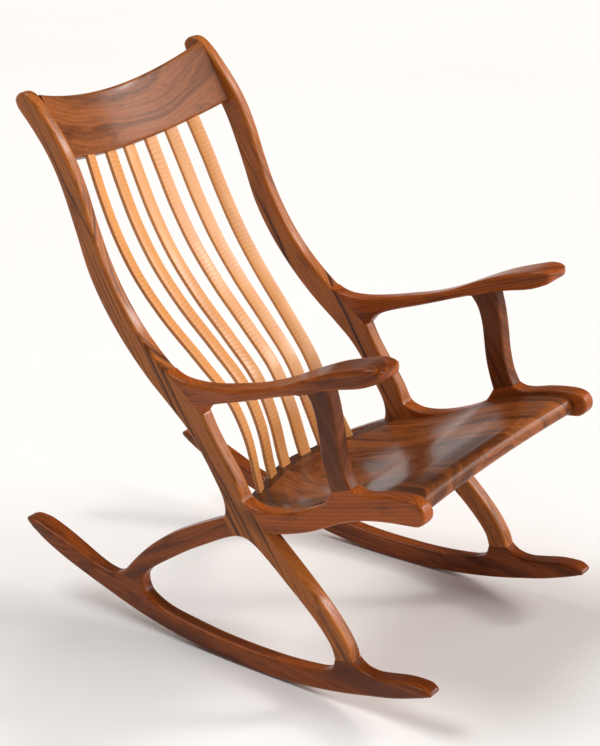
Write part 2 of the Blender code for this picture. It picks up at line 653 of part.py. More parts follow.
def build():
    clear_scene()
    crest_rail = crest()
    boards = [seat_board(n) for n in range(SEAT_BOARDS)]
    rear_rail = slat_rail()
    for number in range(SLAT_COUNT):
        loft(f"back_slat_{number + 1}", slat_rings(number), maple_slats())
        foot = loft(f"slat_foot_socket_{number + 1}", slat_rings(number, GAP, 0.0, 0.1), maple_slats())
        head = loft(f"slat_head_socket_{number + 1}", slat_rings(number, GAP, 0.9, 1.0), maple_slats())
        cut(rear_rail, foot)
        cut(crest_rail, head)
    for label, side in (("right", -1), ("left", 1)):
        post, arch, rail = side_frame(label, side)
        edge_board = boards[0] if side < 0 else boards[-1]
        for index, (run, height) in enumerate(CREST_DOWELS, 1):
            cross_dowel(f"{label}_crest_dowel_{index}", run, height, side, crest_rail, post,
                        reach=CREST_REACH)
        for index, run in enumerate(SEAT_DOWEL_RUNS, 1):
            height = seat_top(INNER_FACE, run) - seat_thickness(run) / 2
            cross_dowel(f"{label}_seat_dowel_{index}", run, height, side, edge_board, rail)
        cross_dowel(f"{label}_slat_rail_dowel", *SLAT_RAIL_DOWEL, side, rear_rail, post)


build()
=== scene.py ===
"""Looks of a sculpted walnut rocking chair with six bent maple back slats.

Metres, +Z up; the sitter faces -Y and the sitter's right is -X. The shown pieces follow the same
(run, height) outlines as the CAD nodes that they stand for: run is measured back from the rocker
toe, height up from the floor.
"""
import math

import bmesh
import bpy
from mathutils import Matrix, Vector
from mathutils.geometry import delaunay_2d_cdt


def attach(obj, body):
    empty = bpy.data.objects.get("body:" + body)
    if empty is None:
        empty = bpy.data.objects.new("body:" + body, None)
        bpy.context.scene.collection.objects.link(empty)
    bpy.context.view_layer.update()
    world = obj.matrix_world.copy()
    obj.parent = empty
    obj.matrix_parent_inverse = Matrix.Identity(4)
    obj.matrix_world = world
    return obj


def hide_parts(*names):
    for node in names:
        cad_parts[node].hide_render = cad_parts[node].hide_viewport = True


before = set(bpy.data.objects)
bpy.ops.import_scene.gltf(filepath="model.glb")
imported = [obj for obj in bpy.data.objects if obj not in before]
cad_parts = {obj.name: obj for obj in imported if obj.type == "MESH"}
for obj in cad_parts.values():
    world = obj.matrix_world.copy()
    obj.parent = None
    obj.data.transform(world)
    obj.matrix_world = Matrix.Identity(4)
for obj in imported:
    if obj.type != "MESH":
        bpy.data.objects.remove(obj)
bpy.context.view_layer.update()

# ---- sizes shared with the CAD model ---------------------------------------------------------
SIDE_SPREAD = 0.270
TOE_SET = -0.006
TOE_IN = 0.040
SPLAY_OUT = 0.042
LEAN_IN = 0.086
MIDDLE_RUN = 0.531         # run that lies on the world's Y = 0
TOE_RUN = -0.012
ROCKER_RADIUS = 1.240
ROCKER_LOW_RUN = 0.462
TAIL_RUN = 1.089
SOLE_FROM_RUN = 0.0          # the rounded tips take over from the arc of the sole
SOLE_TO_RUN = 1.070
TAIL_WIDE_RUN = 1.028
SIDE_THICK = 0.032
POST_TOP_THICK = 0.029
CREST_THICK = 0.028
CREST_BOW = 0.047
SLAT_COUNT = 6
SLAT_THICK = 0.009
SEAT_BOARDS = 5
SEAT_THICK = 0.027
SEAT_NOSE_THICK = 0.035
SEAT_DISH = 0.016
SEAT_REAR_RUN = 0.509
SEAT_SWEEP = 0.36
SEAT_SWEEP_ROUND = 0.060
SLAT_RAIL_DEPTH = 0.035
GLUE = 0.0001              # hairline between shown pieces

FINE = 0.008               # spacing of the points along a shown outline


# ---- geometry helpers ------------------------------------------------------------------------
def at(run, height):
    """Drawn run and height to world (y, z)."""
    return Vector((run - MIDDLE_RUN, height))


def taper(y, z):
    """Share of the toe spread that is left at a place on the side frame."""
    run = y + MIDDLE_RUN
    return 1.0 + TOE_SET - TOE_IN * run + SPLAY_OUT * z - LEAN_IN * run * z


def curve(knots, spacing=FINE):
    """World points of a smooth curve through drawn knots; further numbers are carried along."""
    spots = [Vector((*at(*k[:2]), *k[2:])) for k in knots]
    ends = [2 * spots[0] - spots[1]] + spots + [2 * spots[-1] - spots[-2]]
    points = [spots[0]]
    for i in range(1, len(ends) - 2):
        p0, p1, p2, p3 = ends[i - 1:i + 3]
        count = max(1, round((p2 - p1).length / spacing))
        t0 = 0.0
        t1 = t0 + math.sqrt((p1 - p0).length)
        t2 = t1 + math.sqrt((p2 - p1).length)
        t3 = t2 + math.sqrt((p3 - p2).length)
        for k in range(1, count + 1):
            t = t1 + (t2 - t1) * k / count
            a1 = p0.lerp(p1, (t - t0) / (t1 - t0))
            a2 = p1.lerp(p2, (t - t1) / (t2 - t1))
            a3 = p2.lerp(p3, (t - t2) / (t3 - t2))
            b1 = a1.lerp(a2, (t - t0) / (t2 - t0))
            b2 = a2.lerp(a3, (t - t1) / (t3 - t1))
            points.append(b1.lerp(b2, (t - t1) / (t2 - t1)))
    return points


def joint(first, second, steps=6):
    """World points along a straight glue line."""
    a, b = at(*first), at(*second)
    return [a.lerp(b, k / steps) for k in range(steps + 1)]


def eased(table, value):
    """Value read from a short table of (place, size) pairs, eased between the rows."""
    if value <= table[0][0]:
        return table[0][1]
    for (x0, v0), (x1, v1) in zip(table, table[1:]):
        if value <= x1:
            t = (value - x0) / (x1 - x0)
            return v0 + (v1 - v0) * t * t * (3 - 2 * t)
    return table[-1][1]


def finish_piece(name, work, skin, node, angle=40):
    """Turn a bmesh into a shown piece that stands for a CAD node and rides with the chair."""
    if work.calc_volume(signed=True) < 0:
        bmesh.ops.reverse_faces(work, faces=work.faces)
    work.normal_update()
    mesh = bpy.data.meshes.new(name)
    work.to_mesh(mesh)
    work.free()
    mesh.materials.append(skin)
    mesh.shade_smooth()
    mesh.set_sharp_from_angle(angle=math.radians(angle))
    piece = bpy.data.objects.new(name, mesh)
    bpy.context.scene.collection.objects.link(piece)
    settle(piece, node)
    return piece


def settle(piece, node):
    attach(piece, "root")
    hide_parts(node)


def weigh_normals(piece):
    """Flat faces stay flat beside their rounded arrises."""
    even = piece.modifiers.new("even_faces", "WEIGHTED_NORMAL")
    even.keep_sharp = True
    even.weight = 80


# ---- side frame pieces -----------------------------------------------------------------------
def inset_point(before, here, after, first_inset, second_inset):
    """The corner between two outline edges when each edge moves inwards by its own distance."""
    u = (here - before).normalized()
    v = (after - here).normalized()
    n_in = Vector((-u.y, u.x))
    n_out = Vector((-v.y, v.x))
    cross = u.x * v.y - u.y * v.x
    nearly_straight = u.dot(v) > 0 and abs(cross) < (0.08 if first_inset == second_inset else 0.35)
    if nearly_straight:
        return here + (n_in * first_inset + n_out * second_inset) / 2
    return here + (v * first_inset - u * second_inset) / cross


def outline_points(stretches):
    """One anticlockwise ring of points, and for each the mark of a square glue-line edge."""
    spots, square = [], []
    for kind, points in stretches:
        for index, point in enumerate(points):
            if spots and (point - spots[-1]).length < 0.0008:
                continue
            spots.append(point)
            square.append(kind == "joint" and index > 0)
    if (spots[0] - spots[-1]).length < 0.0008:
        square[0] = square[-1]
        spots.pop()
        square.pop()
    area = sum(a.x * b.y - a.y * b.x for a, b in zip(spots, spots[1:] + spots[:1]))
    if area < 0:
        spots.reverse()
        square.reverse()
        square = square[-1:] + square[:-1]
    return spots, square


def arris_room(spots, square, arris):
    """Share of the full arris that each outline point has room for; tight tips have less."""
    count = len(spots)
    room = [1.0] * count
    for _ in range(60):
        inner = [inset_point(spots[i - 1], spots[i], spots[(i + 1) % count],
                             0.0 if square[i] else arris * room[i],
                             0.0 if square[(i + 1) % count] else arris * room[i])
                 for i in range(count)]
        crowded = [i for i in range(count)
                   if (inner[(i + 1) % count] - inner[i]).dot(spots[(i + 1) % count] - spots[i])
                   < 0.2 * (spots[(i + 1) % count] - spots[i]).length_squared]
        for i in crowded:
            room[i] *= 0.85
            room[(i + 1) % count] *= 0.85
        if not crowded:
            break
    for _ in range(8):
        room = [min(room[i], (room[i - 1] + room[i] + room[(i + 1) % count]) / 3)
                for i in range(count)]
    return room


def shaped_member(name, stretches, width_at, side, skin, node, arris=0.0065, drop=None,
                  shift_at=None, tilt_at=None, steps=5):
    """A side-frame member: an outline taken across the frame, with rounded arrises."""
    spots, square = outline_points(stretches)
    count = len(spots)
    room = arris_room(spots, square, arris)
    drop = arris if drop is None else drop
    layers = []
    for k in range(steps + 1):
        t = math.pi / 2 * k / steps
        layers.append((arris * (1.0 - math.sin(t)), drop * (1.0 - math.cos(t)), math.sin(2 * t)))
    work = bmesh.new()
    # The arris attribute marks the rounded edges; the walnut finish paints them paler there, partly as wear
    # and partly as a painted highlight.
    wear_and_sheen = work.verts.layers.float.new("arris")
    rings = []
    for hand, order in ((-1, layers), (1, layers[::-1])):
        for inset, fall, edge in order:
            ring = []
            for i in range(count):
                j = (i + 1) % count
                near = inset * room[i]
                p = inset_point(spots[i - 1], spots[i], spots[j],
                                0.0 if square[i] else near, 0.0 if square[j] else near)
                vert = work.verts.new((hand * (width_at(p.x, p.y) / 2 - fall), p.x, p.y))
                vert[wear_and_sheen] = 0.0 if square[i] and square[j] else edge
                ring.append(vert)
            rings.append(ring)
    for low, high in zip(rings, rings[1:]):
        for i in range(count):
            j = (i + 1) % count
            work.faces.new((low[i], low[j], high[j], high[i]))
    edges = [(i, (i + 1) % count) for i in range(count)]
    for corners in delaunay_2d_cdt(spots, edges, [list(range(count))], 1, 1e-7)[2]:
        for ring in (rings[0], rings[-1]):
            work.faces.new([ring[i] for i in corners])
    for v in work.verts:
        run = v.co.y + MIDDLE_RUN
        if tilt_at:
            v.co.z += tilt_at(run) * v.co.x
        if shift_at:
            v.co.x += shift_at(run)
        v.co.x = side * (SIDE_SPREAD + v.co.x) * taper(v.co.y, v.co.z)
    bmesh.ops.recalc_face_normals(work, faces=work.faces)
    piece = finish_piece(name, work, skin, node)
    weigh_normals(piece)
    return piece


def loft(name, rings, skin, node, arris=None):
    """Closed solid through matching rings of points; its ends are closed with ladders of quads."""
    work = bmesh.new()
    # The arris attribute marks the rounded edges; the walnut finish paints them paler there, partly as wear
    # and partly as a painted highlight.
    wear_and_sheen = work.verts.layers.float.new("arris")
    loops = []
    for ring in rings:
        loop = []
        for index, p in enumerate(ring):
            vert = work.verts.new(p)
            vert[wear_and_sheen] = arris[index] if arris else 0.0
            loop.append(vert)
        loops.append(loop)
    size = len(loops[0])
    for low, high in zip(loops, loops[1:]):
        for i in range(size):
            j = (i + 1) % size
            work.faces.new((low[i], low[j], high[j], high[i]))
    for end in (loops[0], loops[-1]):
        for i in range(size // 2 - 1):
            work.faces.new((end[i], end[i + 1], end[size - 2 - i], end[size - 1 - i]))
    bmesh.ops.recalc_face_normals(work, faces=work.faces)
    return finish_piece(name, work, skin, node)


# ---- glue lines of the side frame ----------------------------------------------------------
LEG_FOOT = ((0.1730, 0.1080), (0.2195, 0.1010))        # front leg on the rocker, front to rear
ARCH_HEAD = ((0.4555, 0.3030), (0.4785, 0.3370))       # rear arch on the post, low to high
ARCH_FOOT = ((0.7395, 0.1085), (0.8000, 0.1215))       # rear arch on the rocker, front to rear
RAIL_END = ((0.3610, 0.3340), (0.4195, 0.3895))        # seat rail on the post, low to high
ARM_ROOT = ((0.5060, 0.5560), (0.5950, 0.6275))        # arm on the post, low to high
ARM_POST_FOOT = ((0.1425, 0.4880), (0.1925, 0.4705))   # arm post on the seat rail, front to rear
ARM_POST_HEAD = ((0.1775, 0.6875), (0.2360, 0.6670))   # arm post under the arm, front to rear


def off(pair, distance):
    """A glue line moved square to itself, as drawn knots."""
    (a, b), (c, d) = pair
    length = math.hypot(c - a, d - b)
    shift = (-(d - b) / length * distance, (c - a) / length * distance)
    return ((a + shift[0], b + shift[1]), (c + shift[0], d + shift[1]))


def sole(start_run, end_run):
    """The rocker's sole, a smooth arc that just touches the floor."""
    first = math.asin((start_run - ROCKER_LOW_RUN) / ROCKER_RADIUS)
    last = math.asin((end_run - ROCKER_LOW_RUN) / ROCKER_RADIUS)
    steps = round((last - first) * ROCKER_RADIUS / FINE)
    turns = [first + (last - first) * k / steps for k in range(steps + 1)]
    return [at(ROCKER_LOW_RUN + ROCKER_RADIUS * math.sin(a), ROCKER_RADIUS * (1.0 - math.cos(a)))
            for a in turns]


def rocker_outline():
    """From the toe along the sole to the tail, then back over the top."""
    bottom = sole(SOLE_FROM_RUN, SOLE_TO_RUN)
    tail = curve([(1.0700, 0.1602), (1.0830, 0.1650), (1.0885, 0.1700), (1.0870, 0.1755),
                  (1.0780, 0.1785), (1.0620, 0.1785), (1.0430, 0.1765), (0.9975, 0.1630),
                  (0.9415, 0.1435), (0.8910, 0.1245), (0.8555, 0.1140), (0.8250, 0.1115), ARCH_FOOT[1]])
    rear_joint = joint(ARCH_FOOT[1], ARCH_FOOT[0])
    loop = curve([ARCH_FOOT[0], (0.7340, 0.0920), (0.7190, 0.0805), (0.6850, 0.0665), (0.6070, 0.0550),
                  (0.5265, 0.0480), (0.4455, 0.0465), (0.3650, 0.0485), (0.2940, 0.0555),
                  (0.2490, 0.0645), (0.2275, 0.0795), LEG_FOOT[1]])
    front_joint = joint(LEG_FOOT[1], LEG_FOOT[0])
    toe = curve([LEG_FOOT[0], (0.1580, 0.0975), (0.1290, 0.0925), (0.0960, 0.0970), (0.0520, 0.1060),
                 (0.0180, 0.1085), (0.0010, 0.1070), (-0.0090, 0.1030), (-0.0120, 0.0970),
                 (-0.0090, 0.0920), (0.0, 0.0893)])
    return [("curve", bottom), ("curve", tail), ("joint", rear_joint), ("curve", loop),
            ("joint", front_joint), ("curve", toe)]


def post_outline():
    """Front edge upwards, rounded head, rear edge down to the arch, front leg back to the foot."""
    leg_front = curve([LEG_FOOT[0], (0.1795, 0.1320), (0.1970, 0.1640), (0.2290, 0.2045),
                       (0.2775, 0.2550), (0.3230, 0.2985), RAIL_END[0]])
    rail_joint = joint(RAIL_END[0], RAIL_END[1])
    waist = curve([RAIL_END[1], (0.4350, 0.4290), (0.4640, 0.4760), (0.4900, 0.5200), ARM_ROOT[0]])
    arm_joint = joint(ARM_ROOT[0], ARM_ROOT[1])
    back_front = curve([ARM_ROOT[1], (0.6320, 0.6610), (0.6720, 0.7050), (0.7085, 0.7590),
                        (0.7415, 0.8280), (0.7650, 0.9005), (0.7830, 0.9670), (0.8070, 1.0260),
                        (0.8445, 1.0840), (0.8870, 1.1350), (0.9080, 1.1480), (0.9305, 1.1455),
                        (0.9425, 1.1315), (0.9365, 1.1140)])
    back_rear = curve([(0.9365, 1.1140), (0.9025, 1.0765), (0.8695, 1.0325), (0.8455, 0.9870),
                       (0.8275, 0.9360), (0.8105, 0.8775), (0.7875, 0.7980), (0.7505, 0.7245),
                       (0.7020, 0.6565), (0.6490, 0.5985), (0.5920, 0.5480), (0.5540, 0.5120),
                       (0.5230, 0.4690), (0.4940, 0.4190), (0.4770, 0.3830), (0.4740, 0.3570),
                       ARCH_HEAD[1]])
    arch_joint = joint(ARCH_HEAD[1], ARCH_HEAD[0])
    leg_rear = curve([ARCH_HEAD[0], (0.4300, 0.3060), (0.4070, 0.2985), (0.3725, 0.2735),
                      (0.3210, 0.2280), (0.2765, 0.1875), (0.2440, 0.1515), (0.2260, 0.1245),
                      LEG_FOOT[1]])
    foot = joint(LEG_FOOT[1], LEG_FOOT[0])
    return [("curve", leg_front), ("joint", rail_joint), ("curve", waist), ("joint", arm_joint),
            ("curve", back_front), ("curve", back_rear), ("joint", arch_joint),
            ("curve", leg_rear), ("joint", foot)]


def arch_outline():
    """The curved rear leg from the post down to the rocker."""
    head = off(ARCH_HEAD, -GLUE)
    foot = off(ARCH_FOOT, GLUE)
    top = curve([head[1], (0.4930, 0.3310), (0.5265, 0.3155), (0.5820, 0.2880), (0.6375, 0.2580),
                 (0.6940, 0.2195), (0.7395, 0.1810), (0.7695, 0.1515), (0.7855, 0.1350), foot[1]])
    under = curve([foot[0], (0.7385, 0.1250), (0.7240, 0.1440), (0.6950, 0.1660), (0.6480, 0.1965),
                   (0.5930, 0.2310), (0.5345, 0.2635), (0.4850, 0.2900), head[0]])
    return [("curve", top), ("joint", joint(foot[1], foot[0])), ("curve", under),
            ("joint", joint(head[0], head[1]))]


def rail_outline():
    """Side seat rail with its two pads and its bulbous front end."""
    rear = off(RAIL_END, GLUE)
    pad = off(ARM_POST_FOOT, 0.0)
    under = curve([rear[0], (0.3335, 0.3405), (0.2930, 0.3535), (0.2520, 0.3690), (0.2110, 0.3895),
                   (0.1700, 0.4105), (0.1195, 0.4285), (0.0580, 0.4415), (0.0125, 0.4475),
                   (-0.0100, 0.4515), (-0.0235, 0.4635), (-0.0265, 0.4790), (-0.0185, 0.4945),
                   (-0.0030, 0.5010), (0.0270, 0.5005), (0.0680, 0.4945), (0.1070, 0.4850),
                   (0.1280, 0.4835), pad[0]])
    behind = curve([pad[1], (0.1995, 0.4580), (0.2130, 0.4395), (0.2415, 0.4215), (0.2825, 0.4035),
                    (0.3230, 0.3900), (0.3590, 0.3825), (0.3845, 0.3810), (0.4030, 0.3840), rear[1]])
    return [("curve", under), ("joint", joint(pad[0], pad[1])), ("curve", behind),
            ("joint", joint(rear[1], rear[0]))]


def arm_post_outline():
    foot = off(ARM_POST_FOOT, GLUE)
    head = off(ARM_POST_HEAD, -GLUE)
    front = curve([foot[0], (0.1535, 0.5130), (0.1615, 0.5540), (0.1645, 0.5990), (0.1690, 0.6440),
                   head[0]])
    rear = curve([head[1], (0.2220, 0.6460), (0.2135, 0.6140), (0.2100, 0.5740), (0.2070, 0.5340),
                  (0.2000, 0.4985), foot[1]])
    return [("curve", front), ("joint", joint(head[0], head[1])), ("curve", rear),
            ("joint", joint(foot[1], foot[0]))]


def arm_outline():
    root = off(ARM_ROOT, GLUE)
    head = ARM_POST_HEAD
    top = curve([root[1], (0.5600, 0.6175), (0.5200, 0.6165), (0.4600, 0.6245), (0.4000, 0.6370),
                 (0.3400, 0.6520), (0.2800, 0.6730), (0.2200, 0.7000), (0.1600, 0.7250),
                 (0.1000, 0.7435), (0.0690, 0.7515), (0.0490, 0.7525), (0.0375, 0.7465),
                 (0.0365, 0.7365), (0.0460, 0.7265), (0.0640, 0.7180), (0.0930, 0.7085),
                 (0.1360, 0.6985), head[0]])
    under = curve([head[1], (0.2810, 0.6515), (0.3300, 0.6340), (0.3800, 0.6170), (0.4300, 0.6010),
                   (0.4700, 0.5860), (0.4900, 0.5740), root[0]])
    return [("curve", top), ("joint", joint(head[0], head[1])), ("curve", under),
            ("joint", joint(root[0], root[1]))]


# Front face of the slats at the middle of the chair: run, height, spacing, and how far forward
# the face comes at SLAT_SETBACK_AT from the middle. Most entries are results of a numeric fit.
SLAT_LINE = ((0.5160, 0.3220, 0.0610, 0.0405), (0.5268, 0.3640, 0.0586, 0.0392),
             (0.5450, 0.4440, 0.0530, 0.0341), (0.5783, 0.5240, 0.0532, 0.0300),
             (0.6445, 0.6040, 0.0567, 0.0270), (0.7165, 0.6840, 0.0605, 0.0250),
             (0.7747, 0.7640, 0.0628, 0.0239), (0.8165, 0.8440, 0.0633, 0.0239),
             (0.8480, 0.9240, 0.0622, 0.0248), (0.8815, 1.0170, 0.0588, 0.0272))
SLAT_SETBACK_AT = 0.154
# Sideways shifts of the slats from even spacing, at the foot and at the top: offsets of the same
# fit, to the millimetre, except the sixth foot, which is given on its own.
SLAT_SHIFTS = ((0.000, -0.012), (0.007, 0.001), (-0.001, 0.000), (0.003, 0.003), (-0.004, 0.000),
               (-0.014, -0.002))


def member_width(y, z):
    return SIDE_THICK


def post_width(y, z):
    return eased(((0.660, SIDE_THICK), (0.900, POST_TOP_THICK)), z)


def rocker_width(y, z):
    table = ((TOE_RUN, 0.032), (0.010, 0.040), (0.070, 0.040), (0.150, SIDE_THICK),
             (0.840, SIDE_THICK), (TAIL_WIDE_RUN, 0.048), (1.064, 0.044), (TAIL_RUN, 0.032))
    return eased(table, y + MIDDLE_RUN)


def arm_width(y, z):
    table = ((0.034, 0.046), (0.046, 0.066), (0.080, 0.079), (0.150, 0.077), (0.380, 0.045),
             (0.500, SIDE_THICK + 0.002), (0.592, SIDE_THICK))
    return eased(table, y + MIDDLE_RUN)


def arm_shift(run):
    """The arm swings outwards between its root and the paddle."""
    return eased(((0.060, 0.0), (0.280, 0.007), (0.400, 0.009), (0.560, 0.0)), run)


def arm_tilt(run):
    """Its top leans outwards a little."""
    return eased(((0.040, -0.01), (0.260, -0.09), (0.420, -0.08), (0.540, 0.0)), run)


# ---- seat, crest and slats -------------------------------------------------------------------
INNER_FACE = SIDE_SPREAD - SIDE_THICK / 2 - GLUE
CREST_REACH = SIDE_SPREAD - POST_TOP_THICK / 2 - GLUE
CREST_LOW = (0.8275, 1.0205)
CREST_HIGH = (0.8910, 1.1430)
CREST_TOP_DIP = 0.046
CREST_LOW_DROP = 0.032
SEAT_EDGE = ((-0.003, 0.4920), (0.042, 0.4910), (0.098, 0.4805), (0.149, 0.4650), (0.201, 0.4440),
             (0.252, 0.4165), (0.304, 0.3930), (0.355, 0.3745), (0.406, 0.3590), (0.457, 0.3460),
             (0.509, 0.3385))


def centre_point(x, y, z):
    return Vector((x * taper(y, z), y, z))


def crest_rail(skin):
    """Bent plank between the posts, hollow along its top edge, with softened arrises."""
    low, high = at(*CREST_LOW), at(*CREST_HIGH)
    up = (high - low).normalized()
    back = Vector((up.y, -up.x))
    tall = (high - low).length
    steps, turns, faces, radius = 64, 5, 8, 0.006
    rings = []
    wear_and_sheen = []
    for i in range(steps + 1):
        x = -CREST_REACH + 2 * CREST_REACH * i / steps
        share = 1.0 - (x / CREST_REACH) ** 2
        bottom = -CREST_LOW_DROP * share
        top = tall - CREST_TOP_DIP * share
        section = soft_rectangle(CREST_THICK, top - bottom, radius, turns, faces)
        ring = []
        for across, along, _ in section:
            spot = low + up * ((top + bottom) / 2 + along) + back * (CREST_THICK / 2 + across)
            ring.append(centre_point(x, spot.x + CREST_BOW * share, spot.y))
        wear_and_sheen = [edge for _, _, edge in section]
        rings.append(ring)
    return loft("crest_rail_shaped", rings, skin, "crest_rail", wear_and_sheen)


def soft_rectangle(width, tall, radius, turns, faces):
    """Rounded rectangle about the origin as (x, y, arris) points; its long sides are subdivided."""
    points = []
    for corner in range(4):
        cx = (width / 2 - radius) * (1 if corner in (0, 3) else -1)
        cy = (tall / 2 - radius) * (1 if corner in (0, 1) else -1)
        for k in range(turns + 1):
            angle = math.pi / 2 * (corner + k / turns)
            edge = math.sin(math.pi * k / turns)
            points.append((cx + radius * math.cos(angle), cy + radius * math.sin(angle), edge))
        if corner in (1, 3):
            continue_y = (tall - 2 * radius) * (1 if corner == 3 else -1)
            for k in range(1, faces):
                points.append((-width / 2 if corner == 1 else width / 2,
                               cy + continue_y * k / faces, 0.0))
    return points


def seat_edge_height(run):
    for (r0, h0), (r1, h1) in zip(SEAT_EDGE, SEAT_EDGE[1:]):
        if run <= r1:
            return h0 + (h1 - h0) * (run - r0) / (r1 - r0)
    return SEAT_EDGE[-1][1]


def smooth_edge_height(run):
    """Seat edge height with the corners between its drawn points eased out."""
    reach = 0.020
    return sum(seat_edge_height(run + reach * k / 2) * w
               for k, w in ((-2, 0.1), (-1, 0.2), (0, 0.4), (1, 0.2), (2, 0.1)))


def seat_rear(x):
    return SEAT_REAR_RUN - SEAT_SWEEP * (math.hypot(x, SEAT_SWEEP_ROUND) - SEAT_SWEEP_ROUND)


def ease(t):
    t = min(1.0, max(0.0, t))
    return t * t * (3 - 2 * t)


def seat_top(x, run):
    """Height of the dished seat: a broad hollow with a soft ridge towards the front."""
    share = abs(x / INNER_FACE)
    hollow = 1.0 - share ** 2.6
    along = ease((run - 0.005) / 0.16) * ease((seat_rear(x) - run) / 0.13)
    return smooth_edge_height(run) - SEAT_DISH * hollow * along


def seat_board(number, skin):
    """One lengthwise board of the seat with a rolled front edge."""
    width = 2 * INNER_FACE / SEAT_BOARDS
    left = -INNER_FACE + number * width + (GLUE / 2 if number else 0.0)
    right = -INNER_FACE + (number + 1) * width - (GLUE / 2 if number < SEAT_BOARDS - 1 else 0.0)
    slices, long_steps, roll_steps = 16, 56, 6
    rings = []
    wear_and_sheen = []
    for i in range(slices + 1):
        x = left + (right - left) * i / slices
        nose = 0.010 * (1.0 - (x / INNER_FACE) ** 2)
        tall = SEAT_NOSE_THICK
        top_radius, under_radius = 0.021, 0.010
        high = seat_top(x, nose)
        low = smooth_edge_height(0.0) - tall
        upper, lower, marks = [], [], []
        for k in range(roll_steps + 1):
            t = math.pi / 2 * k / roll_steps
            upper.append((nose + top_radius * (1 - math.sin(t)),
                          high - top_radius * (1 - math.cos(t))))
            lower.append((nose + under_radius * (1 - math.sin(t)),
                          low + under_radius * (1 - math.cos(t))))
            marks.append(math.sin(2 * t))
        upper.reverse()
        lower.reverse()
        upper_marks = marks[::-1]
        start = nose + top_radius
        runs = [start + (seat_rear(x) - start) * k / long_steps for k in range(1, long_steps + 1)]
        blend = [ease((run - start) / 0.02) for run in runs]
        top_line = [(run, seat_top(x, run) * b + high * (1 - b)) for run, b in zip(runs, blend)]
        under_line = []
        for run in runs:
            thick = eased(((0.014, SEAT_NOSE_THICK), (0.110, SEAT_THICK)), run)
            under_line.append((run, smooth_edge_height(run) - thick))
        ring = [*upper, *top_line, *under_line[::-1], *lower[::-1]]
        wear_and_sheen = [*upper_marks, *([0.0] * 2 * long_steps), *marks]
        rings.append([centre_point(x, *at(*p)) for p in ring])
    name = f"seat_board_{number + 1}"
    return loft(f"{name}_dished", rings, skin, name, wear_and_sheen)


def slat_rail(skin):
    """Rear rail of the seat that the slats stand in; it follows the swept seat edge."""
    steps, turns, radius = 80, 5, 0.006
    rings = []
    wear_and_sheen = []
    for i in range(steps + 1):
        x = -INNER_FACE + 2 * INNER_FACE * i / steps
        front = seat_rear(x) + GLUE
        rear = front + SLAT_RAIL_DEPTH
        front_top = seat_top(x, front)
        rear_top = seat_top(x, rear)
        bottom = smooth_edge_height(seat_rear(x)) - SEAT_THICK
        ring = [(front, front_top), ((front + rear) / 2, (front_top + rear_top) / 2)]
        wear_and_sheen = [0.0, 0.0]
        for k in range(turns + 1):
            t = math.pi / 2 * k / turns
            ring.append((rear - radius * (1 - math.sin(t)), rear_top - radius * (1 - math.cos(t))))
            wear_and_sheen.append(math.sin(2 * t))
        for k in range(turns + 1):
            t = math.pi / 2 * k / turns
            ring.append((rear - radius * (1 - math.cos(t)), bottom + radius * (1 - math.sin(t))))
            wear_and_sheen.append(math.sin(2 * t))
        ring += [((front + rear) / 2, bottom), (front, bottom)]
        wear_and_sheen += [0.0, 0.0]
        rings.append([centre_point(x, *at(*p)) for p in ring])
    return loft("back_slat_rail_shaped", rings, skin, "back_slat_rail", wear_and_sheen)


def slat_path(number):
    """Centre line of one slat in world metres, with its facing direction and its width."""
    side_step = number - (SLAT_COUNT - 1) / 2
    line = curve(SLAT_LINE, 0.012)
    total = len(line) - 1
    foot_shift, top_shift = SLAT_SHIFTS[number]
    path = []
    for i, (y, z, pitch, setback) in enumerate(line):
        share = i / total
        ahead = (line[min(i + 1, total)] - line[max(i - 1, 0)]).xy
        place = side_step * pitch + foot_shift + (top_shift - foot_shift) * share
        hollow = place / SLAT_SETBACK_AT
        slope = -2.0 * setback * hollow / SLAT_SETBACK_AT
        along = Vector((0.0, ahead.x, ahead.y)).normalized()
        across = Vector((1.0, slope, 0.0))
        across = (across - along * across.dot(along)).normalized()
        through = across.cross(along)
        if through.y < 0:
            through = -through
        face = Vector((place, y - setback * hollow * hollow, z))
        path.append((face + through * (SLAT_THICK / 2), through, share))
    return path


# ---- node helpers ----------------------------------------------------------------------------
def put(tree, kind, inputs=None, **settings):
    """Add a node; inputs maps socket names or indices to values or to other nodes' outputs."""
    node = tree.nodes.new(kind)
    for key, value in settings.items():
        setattr(node, key, value)
    for key, value in (inputs or {}).items():
        if isinstance(value, bpy.types.NodeSocket):
            tree.links.new(value, node.inputs[key])
        else:
            node.inputs[key].default_value = value
    return node


def maths(tree, operation, *values):
    return put(tree, "ShaderNodeMath", dict(enumerate(values)), operation=operation).outputs[0]


def spread_range(tree, value, low, high, to_low=0.0, to_high=1.0):
    node = put(tree, "ShaderNodeMapRange", {"Value": value, "From Min": low, "From Max": high,
                                            "To Min": to_low, "To Max": to_high},
               interpolation_type="SMOOTHSTEP")
    return node.outputs["Result"]


def noise(tree, place, scale, detail=2.0, roughness=0.5, distortion=0.0):
    node = put(tree, "ShaderNodeTexNoise", {"Vector": place, "Scale": scale, "Detail": detail,
                                            "Roughness": roughness, "Distortion": distortion})
    return node.outputs["Fac"]


def stretched(tree, place, factors):
    node = put(tree, "ShaderNodeVectorMath", {0: place, 1: factors}, operation="MULTIPLY")
    return node.outputs["Vector"]


def blend_colour(tree, share, first, second, mode="MIX"):
    node = put(tree, "ShaderNodeMix", data_type="RGBA", blend_type=mode)
    for name, value in (("Factor_Float", share), ("A_Color", first), ("B_Color", second)):
        socket = next(s for s in node.inputs if s.identifier == name)
        if isinstance(value, bpy.types.NodeSocket):
            tree.links.new(value, socket)
        elif name == "Factor_Float":
            socket.default_value = value
        else:
            socket.default_value = (*value, 1.0)
    return next(s for s in node.outputs if s.identifier == "Result_Color")


